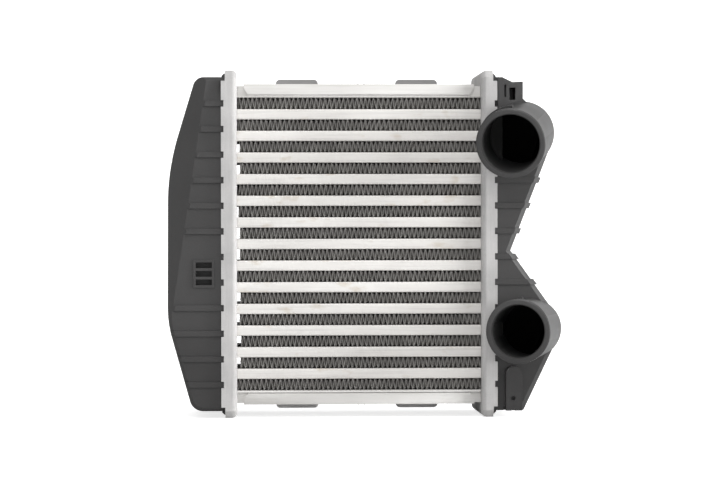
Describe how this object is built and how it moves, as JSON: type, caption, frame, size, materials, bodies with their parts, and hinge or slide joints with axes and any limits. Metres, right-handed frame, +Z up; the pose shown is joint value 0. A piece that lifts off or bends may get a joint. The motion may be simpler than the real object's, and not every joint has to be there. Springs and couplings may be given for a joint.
{
  "type": "intercooler",
  "caption": "Charge-air cooler with a brazed aluminium tube and fin core, a bowed return tank, and a port tank with two leaning hose ports.",
  "frame": {"origin": "middle of the footprint of the whole cooler, at the level of the lower ends of the header plates", "axes": "+X to the right seen from the side of the ports' mouths, along the tubes and towards the port tank; +Y from the front, where the ports' mouths are, to the back; +Z up"},
  "size_m": [0.2298, 0.1228, 0.202],
  "materials": {
    "header_aluminium": "matt, brazed",
    "side_plate_aluminium": "matt, brazed",
    "tube_aluminium": "satin, with light scuffs",
    "fin_aluminium": "satin, louvred",
    "turbulator_aluminium": "satin",
    "tank_plastic": "glass-filled polyamide, fine grain",
    "gasket_rubber": "moulded"
  },
  "bodies": {
    "root": {"air_fin_01": "fin_aluminium", "air_fin_02": "fin_aluminium", "air_fin_03": "fin_aluminium", "air_fin_04": "fin_aluminium", "air_fin_05": "fin_aluminium", "air_fin_06": "fin_aluminium", "air_fin_07": "fin_aluminium", "air_fin_08": "fin_aluminium", "air_fin_09": "fin_aluminium", "air_fin_10": "fin_aluminium", "air_fin_11": "fin_aluminium", "air_fin_12": "fin_aluminium", "air_fin_13": "fin_aluminium", "air_fin_14": "fin_aluminium", "charge_tube_01": "tube_aluminium", "charge_tube_02": "tube_aluminium", "charge_tube_03": "tube_aluminium", "charge_tube_04": "tube_aluminium", "charge_tube_05": "tube_aluminium", "charge_tube_06": "tube_aluminium", "charge_tube_07": "tube_aluminium", "charge_tube_08": "tube_aluminium", "charge_tube_09": "tube_aluminium", "charge_tube_10": "tube_aluminium", "charge_tube_11": "tube_aluminium", "charge_tube_12": "tube_aluminium", "charge_tube_13": "tube_aluminium", "header_plate_left": "header_aluminium", "header_plate_right": "header_aluminium", "port_tank": "tank_plastic", "return_tank": "tank_plastic", "side_plate_bottom": "side_plate_aluminium", "side_plate_top": "side_plate_aluminium", "tank_gasket_left": "gasket_rubber", "tank_gasket_right": "gasket_rubber", "turbulator_01": "turbulator_aluminium", "turbulator_02": "turbulator_aluminium", "turbulator_03": "turbulator_aluminium", "turbulator_04": "turbulator_aluminium", "turbulator_05": "turbulator_aluminium", "turbulator_06": "turbulator_aluminium", "turbulator_07": "turbulator_aluminium", "turbulator_08": "turbulator_aluminium", "turbulator_09": "turbulator_aluminium", "turbulator_10": "turbulator_aluminium", "turbulator_11": "turbulator_aluminium", "turbulator_12": "turbulator_aluminium", "turbulator_13": "turbulator_aluminium"}
  },
  "joints": []
}
